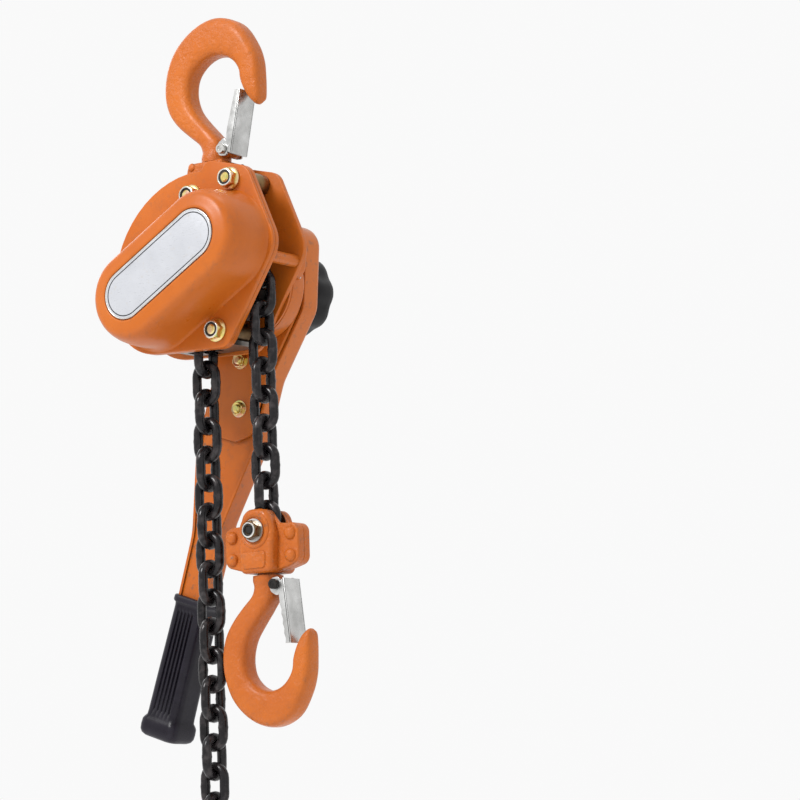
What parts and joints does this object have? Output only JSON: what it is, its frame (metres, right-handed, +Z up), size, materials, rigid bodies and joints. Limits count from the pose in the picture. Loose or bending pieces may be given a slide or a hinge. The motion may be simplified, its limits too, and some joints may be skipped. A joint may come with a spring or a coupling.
{
  "type": "lever chain hoist",
  "caption": "Manual lever hoist: chain runs over a pocketed sheave between side plates, with a geared drive, brake, ratchet lever, and latched hooks above and below.",
  "frame": {"origin": "saddle of the top hook, where it hangs from its support", "axes": "+Z up against the load, +Y along the main shaft towards the hand wheel, -Y towards the gear cover, +X from the slack strand towards the load strand"},
  "size_m": [0.1884, 0.1462, 0.6231],
  "materials": {
    "orange_paint": "gloss",
    "black_rubber": "satin",
    "black_chain": "black oxide",
    "bare_steel": "machined",
    "zinc_plate": "zinc plated",
    "yellow_zinc": "yellow zinc plated",
    "label_face": "printed blank",
    "black_tag": "gloss",
    "brake_lining": "pressed lining"
  },
  "bodies": {
    "top_hook": {"top_hook": "orange_paint", "top_latch_bolt": "zinc_plate"},
    "top_latch": {"top_latch": "zinc_plate"},
    "top_yoke": {"top_yoke_front": "orange_paint", "top_yoke_rear": "orange_paint", "top_yoke_rivet_load": "orange_paint", "top_yoke_rivet_tail": "orange_paint"},
    "frame": {"gear_side_plate": "orange_paint", "brake_side_plate": "orange_paint", "stay_upper": "bare_steel", "stay_lower": "bare_steel", "top_yoke_pin": "bare_steel", "cover_nut_upper": "yellow_zinc", "cover_nut_lower": "yellow_zinc", "cover_nut_yoke": "yellow_zinc", "gear_cover": "orange_paint", "cover_label": "label_face", "brake_cover": "orange_paint", "chain_guide": "bare_steel", "chain_stripper": "bare_steel", "sheave_bearing": "bare_steel"},
    "sheave": {"load_sheave": "bare_steel", "load_gear": "bare_steel", "chain_on_sheave": "black_chain"},
    "intermediate_shaft": {"intermediate_pinion": "bare_steel", "intermediate_gear": "bare_steel"},
    "drive_shaft": {"pinion_shaft": "bare_steel", "brake_hub": "bare_steel", "friction_disc_inner": "brake_lining", "friction_disc_outer": "brake_lining", "change_gear": "bare_steel", "hand_wheel": "black_rubber", "hand_wheel_nut": "zinc_plate"},
    "ratchet_disc": {"ratchet_disc": "bare_steel"},
    "brake_pawl_tail": {"brake_pawl_tail": "bare_steel"},
    "brake_pawl_load": {"brake_pawl_load": "bare_steel"},
    "guide_roller_load": {"guide_roller_load": "bare_steel"},
    "guide_roller_tail": {"guide_roller_tail": "bare_steel"},
    "lever": {"lever_pan": "orange_paint", "lever_inner_cover": "orange_paint", "lever_grip": "black_rubber", "direction_plate": "black_tag", "lever_bolt_load": "zinc_plate", "lever_bolt_tail": "zinc_plate"},
    "selector": {"change_pawl": "zinc_plate", "selector_knob": "black_rubber"},
    "load_strand": {"load_chain": "black_chain"},
    "tail_strand": {"tail_chain": "black_chain", "end_stop_ring": "zinc_plate"},
    "bottom_block": {"block_front": "orange_paint", "block_rear": "orange_paint", "block_rivet_1": "orange_paint", "block_rivet_2": "orange_paint", "block_rivet_3": "orange_paint", "block_rivet_4": "orange_paint", "chain_pin": "bare_steel", "chain_pin_nut": "zinc_plate"},
    "bottom_hook": {"bottom_hook": "orange_paint", "bottom_latch_bolt": "zinc_plate"},
    "bottom_latch": {"bottom_latch": "zinc_plate"}
  },
  "joints": [
    {"name": "yoke_swivel", "type": "hinge", "parent": "top_hook", "child": "top_yoke", "pos_m": [0, 0, 0], "axis": [0, 0, 1], "continuous": true},
    {"name": "top_latch_pivot", "type": "hinge", "parent": "top_hook", "child": "top_latch", "pos_m": [0.0128, 0, -0.0703], "axis": [0, 1, 0], "range_deg": [-40, 0], "stiffness_Nm_per_rad": 0.02, "springref_deg": 20},
    {"name": "frame_tilt", "type": "hinge", "parent": "top_yoke", "child": "frame", "pos_m": [-0.006, 0, -0.104], "axis": [0, 1, 0], "range_deg": [-8, 22]},
    {"name": "sheave_turn", "type": "hinge", "parent": "frame", "child": "sheave", "pos_m": [0.011, 0, -0.166], "axis": [0, 1, 0], "range_deg": [-6, 6]},
    {"name": "intermediate_turn", "type": "hinge", "parent": "frame", "child": "intermediate_shaft", "pos_m": [-0.02496, 0, -0.1678], "axis": [0, 1, 0], "range_deg": [-18, 18]},
    {"name": "shaft_turn", "type": "hinge", "parent": "frame", "child": "drive_shaft", "pos_m": [0.011, 0, -0.166], "axis": [0, 1, 0], "range_deg": [-54, 54]},
    {"name": "load_travel", "type": "slide", "parent": "frame", "child": "load_strand", "axis": [0, 0, -1], "range_m": [-0.00273, 0.00273]},
    {"name": "tail_travel", "type": "slide", "parent": "frame", "child": "tail_strand", "axis": [0, 0, 1], "range_m": [-0.00273, 0.00273]},
    {"name": "ratchet_spin", "type": "hinge", "parent": "frame", "child": "ratchet_disc", "pos_m": [0.011, 0, -0.166], "axis": [0, 1, 0], "continuous": true},
    {"name": "pawl_tail_pivot", "type": "hinge", "parent": "frame", "child": "brake_pawl_tail", "pos_m": [-0.007, 0, -0.126], "axis": [0, 1, 0], "range_deg": [0, 8], "stiffness_Nm_per_rad": 0.01, "springref_deg": -15},
    {"name": "pawl_load_pivot", "type": "hinge", "parent": "frame", "child": "brake_pawl_load", "pos_m": [0.029, 0, -0.126], "axis": [0, 1, 0], "range_deg": [-8, 0], "stiffness_Nm_per_rad": 0.01, "springref_deg": 15},
    {"name": "guide_roller_load_spin", "type": "hinge", "parent": "frame", "child": "guide_roller_load", "pos_m": [0.0565, 0, -0.154], "axis": [0, 1, 0], "continuous": true},
    {"name": "guide_roller_tail_spin", "type": "hinge", "parent": "frame", "child": "guide_roller_tail", "pos_m": [-0.0325, 0, -0.19], "axis": [0, 1, 0], "continuous": true},
    {"name": "lever_swing", "type": "hinge", "parent": "frame", "child": "lever", "pos_m": [0.011, 0, -0.166], "axis": [0, 1, 0], "continuous": true},
    {"name": "selector_turn", "type": "hinge", "parent": "lever", "child": "selector", "pos_m": [-0.00948, 0, -0.21713], "axis": [0, 1, 0], "range_deg": [-25, 25]},
    {"name": "block_tilt", "type": "hinge", "parent": "load_strand", "child": "bottom_block", "pos_m": [0.03765, 0, -0.3464], "axis": [0, 1, 0], "range_deg": [-8, 0]},
    {"name": "bottom_hook_swivel", "type": "hinge", "parent": "bottom_block", "child": "bottom_hook", "pos_m": [0.03765, 0, -0.3774], "axis": [0, 0, 1], "continuous": true},
    {"name": "bottom_latch_pivot", "type": "hinge", "parent": "bottom_hook", "child": "bottom_latch", "pos_m": [0.05045, 0, -0.3844], "axis": [0, 1, 0], "range_deg": [0, 40], "stiffness_Nm_per_rad": 0.02, "springref_deg": -20}
  ],
  "couplings": [
    {"joint": "intermediate_turn", "follows": "sheave_turn", "ratio": -3},
    {"joint": "shaft_turn", "follows": "sheave_turn", "ratio": 9},
    {"joint": "load_travel", "follows": "sheave_turn", "m_per_rad": 0.025974},
    {"joint": "tail_travel", "follows": "sheave_turn", "m_per_rad": 0.025974}
  ]
}
